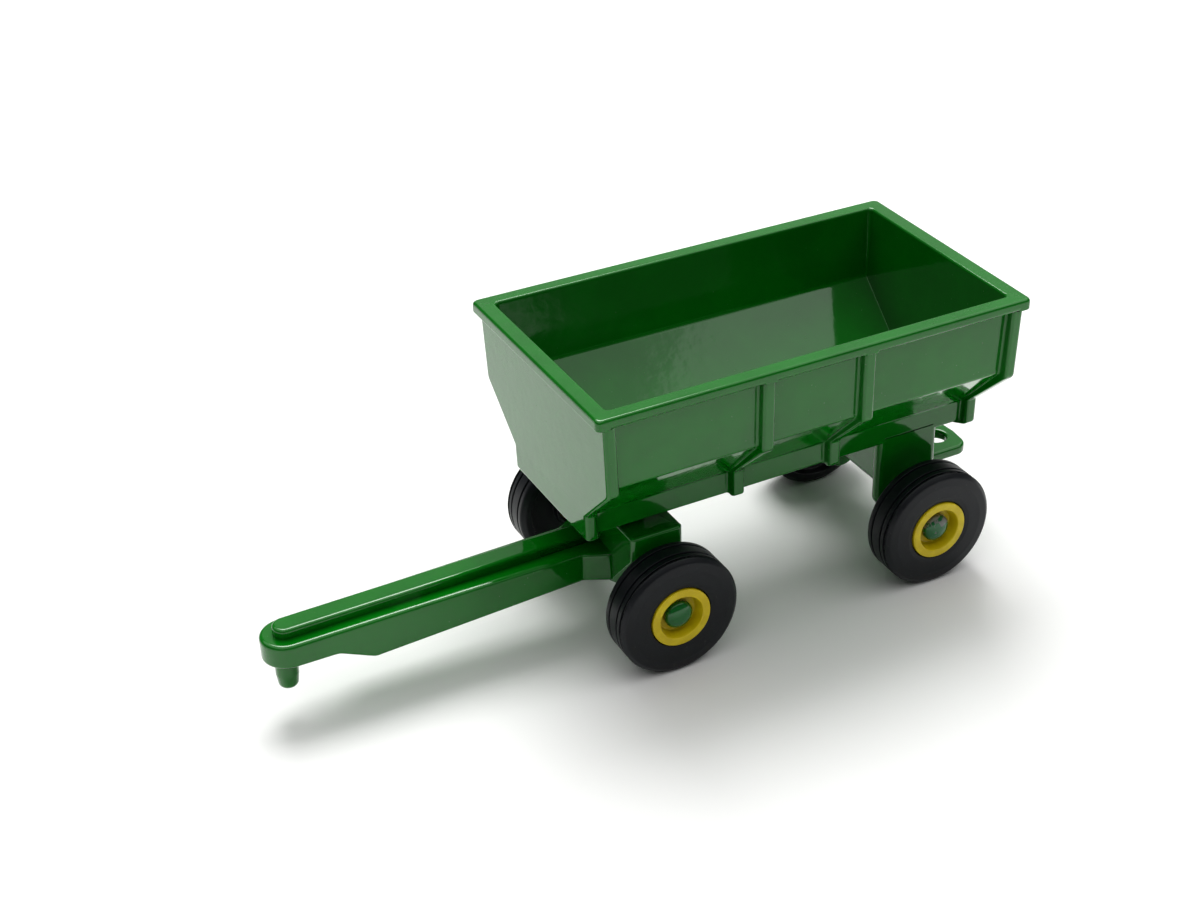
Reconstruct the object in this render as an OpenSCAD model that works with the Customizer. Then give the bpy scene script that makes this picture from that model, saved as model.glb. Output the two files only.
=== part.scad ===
// Toy gravity wagon, about 1:64, as an assembly of cast, moulded and riveted pieces.
// Millimetres, +X towards the tongue, +Y to the left, +Z up, wheels standing on z = 0.

/* [Hopper] */
// length over the rim
hopper_length = 63; // [50:0.5:80]
// width over the rim
hopper_width = 36; // [28:0.5:44]
// height of the rim's top face above the ground
hopper_top = 40.7; // [34:0.1:50]
// thickness of the rim flange
rim_thickness = 1.5; // [1:0.1:3]
// width of the rim's flat top face
rim_width = 2.35; // [1.5:0.05:4]
// how far the rim stands out beyond the end plates
rim_end_overhang = 1; // [0.4:0.1:2]
// how far the rim stands out beyond the side ribs
rim_side_overhang = 0.3; // [0.1:0.1:1]
// radius of the rim's rounded edges
rim_rounding = 0.45; // [0.2:0.05:0.7]
// height where the upright side turns in to the slope
bend_height = 29.2; // [26:0.1:34]
// height where the slope turns down to the skirt
slope_foot_height = 22.65; // [21:0.05:25]
// how much lower the slopes end on the panels than on the ribs
panel_foot_drop = 0.45; // [0:0.05:0.8]
// height of the skirt's lower edge
skirt_foot_height = 19; // [18:0.1:20.4]
// half the width over the skirt's ribs
skirt_half_width = 10.45; // [9:0.05:12]
// how much narrower each side is at the bend than under the rim
side_draft = 0.15; // [0:0.05:0.6]
// how much shorter each end is at the foot than under the rim
end_draft = 0.7; // [0:0.1:1.5]
// width of each side rib
rib_width = 1.7; // [1:0.1:3]
// distance of the front middle rib in front of the hopper's middle
front_rib = 7.8; // [5:0.1:10]
// distance of the rear middle rib behind the hopper's middle
rear_rib = 6.9; // [5:0.1:10]
// how far the ribs stand out from the panels
rib_depth = 1.2; // [0.4:0.1:1.6]
// thickness of the floor of the hopper
floor_thickness = 1; // [0.6:0.1:2]
// height of the floor inside the hopper
floor_height = 22.2; // [21.6:0.1:25]
// height inside where the upright wall turns in to the slope
inner_bend_height = 30.3; // [29.6:0.1:32]
// slope of the inside and outside lower walls, rise over run
slope_rise = 0.868; // [0.7:0.01:1.2]
// thickness of the skirt's hanging side walls
skirt_thickness = 1.1; // [0.8:0.1:2]
// thickness of the solid ends under the hopper's floor
skirt_end_thickness = 2.6; // [1.5:0.1:4]
// how much of the ribs' upper bend is cut off
bend_cut = 0.45; // [0.2:0.05:0.7]

/* [Rear legs and hitch] */
// front face of the rear legs, measured back from the hopper's middle
leg_front = 14.9; // [12:0.1:17]
// rear face of the rear legs, measured back from the hopper's middle
leg_rear = 24.4; // [22:0.1:26]
// thickness of each leg
leg_thickness = 1.5; // [1.2:0.1:3]
// how far the legs and the axle bosses reach below the axle
leg_drop = 2.45; // [2:0.05:3]
// radius of the slanted lower front corner of each leg
leg_corner = 2.4; // [1:0.1:3]
// height over which the lower front corner of the legs slants
leg_slant = 3.85; // [2:0.05:5]
// how far the web between the legs lies behind their front faces
web_setback = 0.25; // [0.1:0.05:1]
// height of the lower edge of the web between the legs
web_foot_height = 12.3; // [11:0.1:16]
// thickness of the web between the legs
web_thickness = 1.6; // [1:0.1:3]
// height of the hitch plate's top face
hitch_top = 10.75; // [9.6:0.1:12]
// thickness of the hitch plate
hitch_thickness = 1.5; // [1.2:0.1:2]
// distance of the hitch hole back from the hopper's middle
hitch_hole_back = 31.1; // [29:0.1:33]
// radius of the hitch hole
hitch_hole_radius = 1.6; // [1.45:0.05:2.2]
// half the width of the hitch plate
hitch_half_width = 4.1; // [3:0.05:5]
// distance of the hitch plate's blunt end back from the hopper's middle
hitch_end_back = 34.4; // [34:0.1:37]
// radius of the hitch plate's two rear corners
hitch_corner = 1.9; // [1:0.1:2.6]
// how far the middle of the blunt end stands out behind its corners
hitch_crown = 0.45; // [0.1:0.05:0.8]
// distance from the legs to where the plate has narrowed
hitch_taper = 2.6; // [1.5:0.1:4]

/* [Front carriage and tongue] */
// distance of the front axle in front of the hopper's middle
front_axle = 20.3; // [18:0.1:23]
// distance of the rear axle behind the hopper's middle
rear_axle = 19.5; // [18:0.1:23]
// height of the carriage's top faces
carriage_top = 17.8; // [16:0.1:18.4]
// height of the carriage block's lower face
block_foot = 7.4; // [7:0.1:8]
// half the width of the carriage block, from axle end to axle end
block_half_width = 11.4; // [10:0.05:12]
// half the length of the carriage block
block_half_length = 3.7; // [3:0.1:5]
// bevel on the block's upright edges
block_bevel = 0.5; // [0.3:0.1:1.4]
// where the slanted lower corner meets the block's front face, out from the middle
corner_cut_out = 6; // [4:0.1:8]
// where the slanted lower corner meets the block's front face, above the ground
corner_cut_height = 9.1; // [8:0.1:10]
// how far the slanted corners turn outwards
corner_cut_turn = 25; // [10:1:50]
// how far the slanted corners tilt down
corner_cut_tilt = 22; // [10:1:40]
// inner end of the round axle bosses under the block
boss_inner = 6.2; // [5:0.1:7]
// height of the tongue's lower edge next to the carriage
tongue_foot = 8.1; // [7:0.05:10]
// height of the tongue's lower edge before its thin front end
tongue_low = 6.45; // [6:0.05:8]
// height of the tongue's ledge next to the carriage
ledge_rear_height = 12.45; // [11:0.05:13.5]
// height of the tongue's ledge at the tip
ledge_tip_height = 11.95; // [11:0.05:13]
// half the width of the tongue next to the carriage
tongue_half_rear = 3.8; // [3:0.05:5]
// half the width of the tongue where its flare meets the block
flare_half_width = 5.5; // [4.5:0.1:7]
// length of the flare
flare_length = 3.4; // [2:0.1:6]
// length of the tongue buried in the block
tongue_root = 2; // [1:0.1:3]
// half the width of the tongue at the tip
tongue_half_tip = 3.35; // [2.6:0.05:4]
// distance of the tongue's tip in front of the hopper's middle
tongue_tip = 69.6; // [60:0.1:80]
// half the width of the raised rib along the tongue
spine_half_width = 1.6; // [1:0.05:2.4]
// height of the raised rib above the ledge
spine_height = 1.35; // [0.8:0.05:2]
// distance from the tongue's tip to the rib's rounded end
spine_setback = 1.7; // [1:0.1:3]
// lower face of the thin front end of the tongue
nose_foot = 8.6; // [8:0.1:9.4]
// where the deep part of the tongue ends, measured from the hopper's middle
step_rear = 56.2; // [50:0.1:60]
// where the thin front end starts, measured from the hopper's middle
step_front = 60.8; // [58:0.1:64]
// radius of the hitch pin
pin_radius = 1.45; // [1:0.05:1.8]
// share of the tapered part that lies above the pin's rounded end
pin_edge = 0.85; // [0.5:0.05:0.95]
// distance of the pin's middle behind the tip of the tongue
pin_setback = 2.85; // [2.4:0.05:3.6]
// length of the hitch pin's straight part
pin_straight = 2.6; // [1.6:0.1:4]
// length of the hitch pin's tapered tip
pin_taper = 2; // [1:0.1:3]
// radius of the flat under the hitch pin's tip
pin_tip_radius = 0.8; // [0.4:0.05:1]

/* [Steering rivet] */
// radius of the steering rivet's shank
rivet_radius = 1.6; // [1.2:0.05:2]
// gap all round between the rivet and the carriage's hole
rivet_gap = 0.06; // [0.02:0.01:0.1]
// radius of the rivet's spread head
rivet_head_radius = 2.7; // [2.2:0.1:3.4]
// height of the rivet's spread head
rivet_head_height = 1.1; // [0.8:0.1:1.6]
// share of the rivet head's height that is its upright edge
rivet_edge = 0.27; // [0.1:0.01:0.5]
// metal left above the rivet's upper end
rivet_cover = 0.4; // [0.2:0.1:1]
// radius of the boss under the hopper
boss_radius = 3.6; // [3:0.1:5]

/* [Wheels] */
// radius of the tyres
tyre_radius = 8.45; // [7:0.1:10]
// width of the tyres
tyre_width = 5.3; // [4:0.1:6.5]
// outer face of the tyres, measured from the middle plane
wheel_face = 17.45; // [15:0.1:18]
// depth of the grooves round the tread
groove_depth = 0.45; // [0.2:0.05:0.8]
// width of each groove
groove_width = 0.3; // [0.2:0.05:0.6]
// distance of the outer groove from the middle of the tread
groove_outer = 1.7; // [1.2:0.05:1.8]
// distance of the middle groove from the middle of the tread
groove_middle = 0.75; // [0.2:0.05:1]
// distance of the inner groove from the middle of the tread
groove_inner = 1.15; // [0.6:0.05:1.8]
// radius of the hollow in the back of the tyres
back_radius = 6.9; // [5.5:0.1:7.4]
// depth of the hollow in the back of the tyres
back_depth = 1.2; // [0.4:0.1:1.6]
// thickness of the tyres' wall behind the rims
back_wall = 0.7; // [0.5:0.1:1.2]
// thickness of the tyres' collar round the rims' boss
back_collar = 0.5; // [0.3:0.1:0.8]
// bevel where the sidewalls meet the rims
seat_bevel = 0.3; // [0.1:0.05:0.5]
// radius of the tyres' shoulders
shoulder_radius = 0.7; // [0.4:0.05:1.4]
// radius of the wheel rims where the tyres seat
rim_radius = 4.18; // [3.5:0.05:5]
// inner radius of the rims' flat lip
lip_radius = 3.06; // [2.6:0.02:3.6]
// depth of the recess in the rims
recess_depth = 1.55; // [1:0.05:2.2]
// how much the recess narrows from the lip to its bottom
recess_taper = 0.35; // [0.1:0.05:0.6]
// how far the rims' lip stands out of the tyres
lip_height = 0.1; // [0:0.02:0.2]
// radius of the rims' boss on the inner side
boss_face_radius = 2.6; // [2.2:0.05:3.2]
// radius of the axle studs
stud_radius = 1.45; // [1.1:0.05:1.7]
// gap all round between the axle studs and the rims' bores
stud_gap = 0.06; // [0.02:0.01:0.1]
// radius of the axle studs' domed heads
head_radius = 1.95; // [1.8:0.05:2.3]
// share of the studs' head height that is its upright edge
head_edge = 0.2; // [0.1:0.05:0.6]
// how far the studs' heads stand out of the tyres' face
head_rise = 0.05; // [0:0.05:0.4]
// length of each stud that sits in its casting
stud_seat = 4; // [2:0.1:5]
// gap between faces that turn past each other
side_gap = 0.3; // [0.2:0.05:0.5]

/* [Hidden] */
$fn = 64;
// overshoot of cuts, and overlap of the shapes that make one casting
OVER = 1;
LAP = 0.5;
TOP = hopper_top - rim_thickness;
HALF_LENGTH = hopper_length / 2 - rim_end_overhang;
HALF_WIDTH = hopper_width / 2 - rim_side_overhang;
BEND_HALF = HALF_WIDTH - side_draft;
INNER_LENGTH = hopper_length / 2 - rim_width;
INNER_HALF = hopper_width / 2 - rim_width;
INNER_FOOT_HALF = INNER_HALF - (inner_bend_height - floor_height) / slope_rise;
// how far a bend moves along the wall when the wall and the slope are both set back by one
MITRE = tan((90 - atan(slope_rise)) / 2);
PANEL_BEND_HEIGHT = bend_height + rib_depth * MITRE;
PANEL_FOOT_HEIGHT = slope_foot_height - panel_foot_drop;
CEILING = floor_height - floor_thickness;
AXLE_HEIGHT = tyre_radius;
AXLE_FOOT = AXLE_HEIGHT - leg_drop;
LEG_OUTER = skirt_half_width - rib_depth;
LEG_INNER = LEG_OUTER - leg_thickness;
HITCH_FOOT = hitch_top - hitch_thickness;
NOSE_X = tongue_tip - tongue_half_tip;
PIN_X = tongue_tip - pin_setback;
PIN_FOOT = nose_foot - pin_straight;
CARRIAGE_X = front_axle;
WHEEL_BACK = wheel_face - tyre_width;
RIM_BACK = block_half_width + side_gap;
HEAD_SEAT = wheel_face - recess_depth + side_gap;
HEAD_TOP = wheel_face + head_rise;
HALF_TYRE = tyre_width / 2;
STUD_ROOT = block_half_width - stud_seat;
RIVET_SEAT = block_foot - side_gap;
RIVET_TOP = CEILING - rivet_cover;
// the middle of the whole object's box lies on the origin
SHIFT = -(tongue_tip - hitch_end_back) / 2;

GREEN = [0.05, 0.36, 0.09];
YELLOW = [0.86, 0.76, 0.10];
BLACK = [0.05, 0.05, 0.06];
STUD_GREEN = [0.10, 0.40, 0.14];

// a prism along X from x = a to x = b whose section is given as [y, z] points
module bar_x(a, b, points) {
  translate([a, 0, 0])
    rotate([90, 0, 90])
      linear_extrude(height = b - a)
        polygon(points);
}

// a prism along Y from y = a to y = b whose section is given as [x, z] points
module bar_y(a, b, points) {
  translate([0, b, 0])
    rotate([90, 0, 0])
      linear_extrude(height = b - a)
        polygon(points);
}

// points along an arc round [x, y] from one angle to another
function arc(x, y, r, from, to, steps = 6) = [
  for (i = [0:steps])
    [x + r * cos(from + (to - from) * i / steps), y + r * sin(from + (to - from) * i / steps)]
];

// both halves of an outline from its left half, listed from the top down
function mirrored(half) = concat(half, [for (i = [len(half) - 1:-1:0]) [-half[i][0], half[i][1]]]);

// the outline with the ribs on, seen along X
function rib_outline(top) = mirrored([
  [HALF_WIDTH, top],
  [BEND_HALF, bend_height + bend_cut],
  [BEND_HALF - bend_cut, bend_height - bend_cut * slope_rise],
  [skirt_half_width, slope_foot_height],
  [skirt_half_width, skirt_foot_height]
]);

// the outline of the panels between the ribs, seen along X
function panel_outline(top) = mirrored([
  [HALF_WIDTH - rib_depth, top],
  [BEND_HALF - rib_depth, PANEL_BEND_HEIGHT],
  [skirt_half_width - rib_depth, PANEL_FOOT_HEIGHT],
  [skirt_half_width - rib_depth, skirt_foot_height]
]);

// the rim flange with every outer edge rounded
module rim_flange() {
  x = hopper_length / 2 - rim_rounding;
  y = hopper_width / 2 - rim_rounding;
  r = rim_rounding;
  low = TOP + r;
  high = hopper_top - r;
  translate([-x, -y, TOP])
    cube([2 * x, 2 * y, rim_thickness]);
  translate([-x - r, -y, low])
    cube([2 * x + 2 * r, 2 * y, high - low]);
  translate([-x, -y - r, low])
    cube([2 * x, 2 * y + 2 * r, high - low]);
  for (sx = [-1, 1])
    for (sy = [-1, 1])
      translate([sx * x, sy * y, low])
        cylinder(r = r, h = high - low, $fn = 32);
  for (z = [low, high]) {
    for (s = [-1, 1]) {
      translate([-x, s * y, z])
        rotate([0, 90, 0])
          cylinder(r = r, h = 2 * x, $fn = 32);
      translate([s * x, y, z])
        rotate([90, 0, 0])
          cylinder(r = r, h = 2 * y, $fn = 32);
    }
    for (sx = [-1, 1])
      for (sy = [-1, 1])
        translate([sx * x, sy * y, z])
          sphere(r = r, $fn = 32);
  }
}

// the body between the end faces, leaning in a little towards the foot
module end_faces() {
  bar_y(-hopper_width, hopper_width, [
    [-HALF_LENGTH, TOP + LAP],
    [HALF_LENGTH, TOP + LAP],
    [HALF_LENGTH, TOP],
    [HALF_LENGTH - end_draft, skirt_foot_height - OVER],
    [-HALF_LENGTH + end_draft, skirt_foot_height - OVER],
    [-HALF_LENGTH, TOP]
  ]);
}

// the hollow of the hopper: upright walls, slopes and a narrow floor
module hopper_hollow() {
  intersection() {
    bar_x(-hopper_length, hopper_length, mirrored([
      [INNER_HALF + side_draft, hopper_top + OVER],
      [INNER_HALF, inner_bend_height],
      [INNER_FOOT_HALF, floor_height]
    ]));
    bar_y(-hopper_width, hopper_width, [
      [-INNER_LENGTH, hopper_top + OVER],
      [INNER_LENGTH, hopper_top + OVER],
      [INNER_LENGTH - end_draft, floor_height - OVER],
      [-INNER_LENGTH + end_draft, floor_height - OVER]
    ]);
  }
}

// the shallow hollow under the floor, between the hanging skirt walls
module underside_hollow() {
  difference() {
    translate([-HALF_LENGTH + skirt_end_thickness, -LEG_OUTER + skirt_thickness, skirt_foot_height - OVER])
      cube([
        2 * (HALF_LENGTH - skirt_end_thickness),
        2 * (LEG_OUTER - skirt_thickness),
        CEILING - skirt_foot_height + OVER
      ]);
    translate([CARRIAGE_X, 0, skirt_foot_height - OVER])
      cylinder(r = boss_radius, h = CEILING);
    translate([-leg_rear, -hopper_width, skirt_foot_height - OVER])
      cube([leg_rear - leg_front, 2 * hopper_width, CEILING]);
  }
}

// one leg seen from the side, from the skirt down to below the axle
module leg(side) {
  mirror([0, side < 0 ? 1 : 0, 0]) {
    bar_y(LEG_INNER, LEG_OUTER, [
      [-leg_rear, skirt_foot_height + OVER],
      [-leg_rear, AXLE_HEIGHT],
      [-rear_axle - leg_drop, AXLE_FOOT],
      [-leg_front - leg_corner, AXLE_FOOT],
      [-leg_front, AXLE_FOOT + leg_slant],
      [-leg_front, skirt_foot_height + OVER]
    ]);
    translate([-rear_axle, boss_inner, AXLE_HEIGHT])
      rotate([-90, 0, 0])
        cylinder(r = leg_drop, h = block_half_width - boss_inner);
  }
}

// the plate that joins the legs and carries the hitch hole
module hitch_plate() {
  w = hitch_half_width;
  leg_middle = (LEG_OUTER + LEG_INNER) / 2;
  corner_x = -hitch_end_back + hitch_crown + hitch_corner;
  corner_y = w - hitch_corner;
  left = concat(
    [[-rear_axle, leg_middle], [-leg_rear, leg_middle], [-leg_rear - hitch_taper, w]],
    arc(corner_x, corner_y, hitch_corner, 90, 180)
  );
  right = [for (i = [len(left) - 1:-1:0]) [left[i][0], -left[i][1]]];
  difference() {
    translate([0, 0, HITCH_FOOT])
      linear_extrude(height = hitch_thickness)
        polygon(concat(left, [[-hitch_end_back, 0]], right));
    translate([-hitch_hole_back, 0, HITCH_FOOT - OVER])
      cylinder(r = hitch_hole_radius, h = hitch_thickness + 2 * OVER);
  }
}

module hopper_casting() {
  color(GREEN)
    translate([SHIFT, 0, 0])
      difference() {
        union() {
          rim_flange();
          intersection() {
            end_faces();
            union() {
              bar_x(-HALF_LENGTH, HALF_LENGTH, panel_outline(TOP + LAP));
              for (x = [-HALF_LENGTH, -rear_rib - rib_width / 2, front_rib - rib_width / 2])
                bar_x(x, x + rib_width, rib_outline(TOP + LAP));
              bar_x(HALF_LENGTH - rib_width, HALF_LENGTH, rib_outline(TOP + LAP));
            }
          }
          translate([CARRIAGE_X, 0, carriage_top + side_gap])
            cylinder(r = boss_radius, h = CEILING - carriage_top);
          leg(1);
          leg(-1);
          translate([-leg_front - web_setback - web_thickness, -LEG_INNER - LAP, web_foot_height])
            cube([web_thickness, 2 * (LEG_INNER + LAP), skirt_foot_height - web_foot_height + OVER]);
          hitch_plate();
        }
        hopper_hollow();
        underside_hollow();
        translate([CARRIAGE_X, 0, carriage_top - OVER])
          cylinder(r = rivet_radius, h = RIVET_TOP - carriage_top + OVER);
        for (s = [-1, 1])
          translate([-rear_axle, s * block_half_width, AXLE_HEIGHT])
            rotate([s * 90, 0, 0])
              translate([0, 0, -OVER])
                cylinder(r = stud_radius, h = stud_seat + OVER);
      }
}

// the bar of the tongue: deep behind, thin at the tip, with a ledge and a raised rib
module tongue_bar() {
  root = CARRIAGE_X - tongue_root;
  flare = CARRIAGE_X + block_half_length;
  slope = (ledge_tip_height - ledge_rear_height) / (NOSE_X - CARRIAGE_X);
  root_ledge = ledge_rear_height - slope * tongue_root;
  tip_ledge = ledge_tip_height + slope * tongue_half_tip;
  // plan of the bar and of its flare into the carriage, cut to the side view
  intersection() {
    linear_extrude(height = carriage_top)
      polygon(concat(
        [
          [root, flare_half_width],
          [flare, flare_half_width],
          [flare + flare_length, tongue_half_rear]
        ],
        arc(NOSE_X, 0, tongue_half_tip, 90, -90, 24),
        [
          [flare + flare_length, -tongue_half_rear],
          [flare, -flare_half_width],
          [root, -flare_half_width]
        ]
      ));
    bar_y(-hopper_width, hopper_width, [
      [root, tongue_foot],
      [flare + flare_length, tongue_foot],
      [step_rear, tongue_low],
      [step_front, nose_foot],
      [tongue_tip + OVER, nose_foot],
      [tongue_tip + OVER, tip_ledge],
      [root, root_ledge]
    ]);
  }
  // the raised rib
  intersection() {
    linear_extrude(height = carriage_top)
      polygon(concat(
        [[root, spine_half_width]],
        arc(tongue_tip - spine_setback - spine_half_width, 0, spine_half_width, 90, -90, 16),
        [[root, -spine_half_width]]
      ));
    bar_y(-hopper_width, hopper_width, [
      [root, nose_foot + OVER],
      [tongue_tip, nose_foot + OVER],
      [tongue_tip, tip_ledge + spine_height],
      [root, root_ledge + spine_height]
    ]);
  }
}

// the cross block with bevelled upright edges, slanted lower corners and round axle bosses
module carriage_block() {
  b = block_bevel;
  l = block_half_length;
  w = block_half_width;
  translate([CARRIAGE_X, 0, 0]) {
    difference() {
      translate([0, 0, block_foot])
        linear_extrude(height = carriage_top - block_foot)
          polygon([
            [l, w - b], [l - b, w], [b - l, w], [-l, w - b],
            [-l, b - w], [b - l, -w], [l - b, -w], [l, b - w]
          ]);
      for (sx = [0, 1])
        for (sy = [0, 1])
          mirror([sx, 0, 0])
            mirror([0, sy, 0])
              translate([l, corner_cut_out, corner_cut_height])
                rotate([0, corner_cut_tilt, corner_cut_turn])
                  translate([0, -w, -w])
                    cube(2 * w);
    }
    for (side = [-1, 1])
      translate([0, side * boss_inner, AXLE_HEIGHT])
        rotate([-side * 90, 0, 0])
          cylinder(r = leg_drop, h = w - boss_inner);
  }
}

// the hitch pin: a straight part under the tongue, then a tapered part with a rounded tip
module hitch_pin() {
  translate([PIN_X, 0, PIN_FOOT])
    cylinder(r = pin_radius, h = pin_straight + OVER);
  translate([PIN_X, 0, PIN_FOOT])
    rotate_extrude()
      polygon([
        [0, 0],
        [pin_radius, 0],
        [(2 * pin_radius + pin_tip_radius) / 3, -pin_edge * pin_taper],
        [pin_tip_radius, -pin_taper],
        [0, -pin_taper]
      ]);
}

module front_carriage() {
  color(GREEN)
    translate([SHIFT, 0, 0])
      difference() {
        union() {
          tongue_bar();
          carriage_block();
          hitch_pin();
        }
        translate([CARRIAGE_X, 0, 0])
          cylinder(r = rivet_radius + rivet_gap, h = hopper_top);
        for (s = [-1, 1])
          translate([CARRIAGE_X, s * block_half_width, AXLE_HEIGHT])
            rotate([s * 90, 0, 0])
              translate([0, 0, -OVER])
                cylinder(r = stud_radius, h = stud_seat + OVER);
      }
}

// the rivet: a shank up into the hopper's boss and a domed head under the carriage
module steering_rivet() {
  r = rivet_head_radius;
  h = rivet_head_height;
  color(STUD_GREEN)
    translate([SHIFT + CARRIAGE_X, 0, RIVET_SEAT])
      rotate_extrude()
        polygon(concat(
          [for (t = [0:15:75]) [r * sin(t), -h * (rivet_edge + (1 - rivet_edge) * cos(t))]],
          [[r, -h * rivet_edge], [r, 0], [rivet_radius, 0]],
          [[rivet_radius, RIVET_TOP - RIVET_SEAT], [0, RIVET_TOP - RIVET_SEAT]]
        ));
}

// an axle stud along +Y with its domed head outwards
module stud_shape() {
  dome = HEAD_TOP - HEAD_SEAT;
  rotate([-90, 0, 0])
    rotate_extrude()
      polygon(concat(
        [[0, STUD_ROOT], [stud_radius, STUD_ROOT], [stud_radius, HEAD_SEAT], [head_radius, HEAD_SEAT]],
        [for (t = [0:15:90]) [head_radius * cos(t), HEAD_SEAT + dome * (head_edge + (1 - head_edge) * sin(t))]]
      ));
}

// a wheel rim along +Y: tyre seat, flat lip, tapered recess, bore and inner boss
module rim_shape() {
  bore = stud_radius + stud_gap;
  deep = wheel_face - recess_depth;
  lip = wheel_face + lip_height;
  rotate([-90, 0, 0])
    rotate_extrude()
      polygon([
        [bore, RIM_BACK],
        [boss_face_radius, RIM_BACK],
        [boss_face_radius, WHEEL_BACK + back_depth + back_wall],
        [rim_radius, WHEEL_BACK + back_depth + back_wall],
        [rim_radius, wheel_face],
        [rim_radius - lip_height, lip],
        [lip_radius + lip_height, lip],
        [lip_radius, wheel_face],
        [lip_radius - recess_taper, deep],
        [bore, deep]
      ]);
}

// one groove round the tread at a distance from its middle, [radius, offset]
function groove(place) = [
  [tyre_radius, place + groove_width / 2],
  [tyre_radius - groove_depth, place + groove_width / 3],
  [tyre_radius - groove_depth, place - groove_width / 3],
  [tyre_radius, place - groove_width / 2]
];

// a tyre along +Y: a smooth sidewall, a grooved tread, and a hollow back that closes on the rim
module tyre_shape() {
  s = shoulder_radius;
  hollow = back_depth - HALF_TYRE;
  rotate([-90, 0, 0])
    translate([0, 0, wheel_face - HALF_TYRE])
      rotate_extrude($fn = 96)
        polygon(concat(
          [[rim_radius, HALF_TYRE - seat_bevel], [rim_radius + seat_bevel, HALF_TYRE]],
          arc(tyre_radius - s, HALF_TYRE - s, s, 90, 0),
          groove(groove_outer),
          groove(groove_middle),
          groove(-groove_inner),
          arc(tyre_radius - s, s - HALF_TYRE, s, 0, -90),
          [
            [back_radius, -HALF_TYRE],
            [back_radius - seat_bevel, hollow],
            [boss_face_radius + back_collar, hollow],
            [boss_face_radius + back_collar, -HALF_TYRE],
            [boss_face_radius, -HALF_TYRE],
            [boss_face_radius, hollow + back_wall],
            [rim_radius, hollow + back_wall]
          ]
        ));
}

// a wheel piece set on its axle: x of the axle, side +1 left or -1 right
module on_axle(x, side) {
  translate([SHIFT + x, 0, AXLE_HEIGHT])
    rotate([0, 0, side > 0 ? 0 : 180])
      children();
}

module front_left_axle_stud() {
  color(STUD_GREEN)
    on_axle(front_axle, 1)
      stud_shape();
}

module front_right_axle_stud() {
  color(STUD_GREEN)
    on_axle(front_axle, -1)
      stud_shape();
}

module rear_left_axle_stud() {
  color(STUD_GREEN)
    on_axle(-rear_axle, 1)
      stud_shape();
}

module rear_right_axle_stud() {
  color(STUD_GREEN)
    on_axle(-rear_axle, -1)
      stud_shape();
}

module front_left_rim() {
  color(YELLOW)
    on_axle(front_axle, 1)
      rim_shape();
}

module front_right_rim() {
  color(YELLOW)
    on_axle(front_axle, -1)
      rim_shape();
}

module rear_left_rim() {
  color(YELLOW)
    on_axle(-rear_axle, 1)
      rim_shape();
}

module rear_right_rim() {
  color(YELLOW)
    on_axle(-rear_axle, -1)
      rim_shape();
}

module front_left_tyre() {
  color(BLACK)
    on_axle(front_axle, 1)
      tyre_shape();
}

module front_right_tyre() {
  color(BLACK)
    on_axle(front_axle, -1)
      tyre_shape();
}

module rear_left_tyre() {
  color(BLACK)
    on_axle(-rear_axle, 1)
      tyre_shape();
}

module rear_right_tyre() {
  color(BLACK)
    on_axle(-rear_axle, -1)
      tyre_shape();
}

hopper_casting();
front_carriage();
steering_rivet();
front_left_axle_stud();
front_right_axle_stud();
rear_left_axle_stud();
rear_right_axle_stud();
front_left_rim();
front_right_rim();
rear_left_rim();
rear_right_rim();
front_left_tyre();
front_right_tyre();
rear_left_tyre();
rear_right_tyre();
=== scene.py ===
"""A die-cast toy gravity wagon: rounded castings, moulded wheels and their finishes."""

import math

import bmesh
import bpy
import numpy as np
from mathutils import Matrix, Vector


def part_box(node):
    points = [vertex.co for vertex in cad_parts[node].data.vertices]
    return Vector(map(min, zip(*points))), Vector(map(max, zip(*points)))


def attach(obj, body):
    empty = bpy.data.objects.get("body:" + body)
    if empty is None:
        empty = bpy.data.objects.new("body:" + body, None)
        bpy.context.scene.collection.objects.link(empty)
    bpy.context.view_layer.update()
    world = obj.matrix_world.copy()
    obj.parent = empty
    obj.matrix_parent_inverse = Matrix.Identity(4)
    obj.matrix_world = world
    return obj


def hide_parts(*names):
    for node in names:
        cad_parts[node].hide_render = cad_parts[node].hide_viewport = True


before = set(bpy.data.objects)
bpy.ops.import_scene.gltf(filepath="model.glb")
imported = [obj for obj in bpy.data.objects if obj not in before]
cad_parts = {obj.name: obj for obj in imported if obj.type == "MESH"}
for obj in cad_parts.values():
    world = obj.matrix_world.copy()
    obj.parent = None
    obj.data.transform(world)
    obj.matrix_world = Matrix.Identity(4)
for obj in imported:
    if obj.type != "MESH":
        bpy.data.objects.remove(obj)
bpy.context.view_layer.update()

MM = 0.001


def box_mm(node):
    """A CAD node's lowest and highest corner in millimetres."""
    low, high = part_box(node)
    return np.array(low) / MM, np.array(high) / MM


# ---------------------------------------------------------------- sizes, in millimetres
hopper_low, hopper_high = box_mm("hopper_casting")
carriage_low, carriage_high = box_mm("front_carriage")
tyre_low, tyre_high = box_mm("front_left_tyre")
rim_low, rim_high = box_mm("front_left_rim")

# The hopper's rim, outside and inside, and the middle of its length.
HOPPER_LENGTH = 63.0
RIM_HALF_WIDTH = hopper_high[1]
RIM_HALF_LENGTH = HOPPER_LENGTH / 2
RIM_TOP = hopper_high[2]
RIM_THICKNESS = 1.5
RIM_FOOT = RIM_TOP - RIM_THICKNESS
RIM_WIDTH = 2.35
RIM_CORNER = 0.7
HOPPER_X = hopper_high[0] - RIM_HALF_LENGTH

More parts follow.
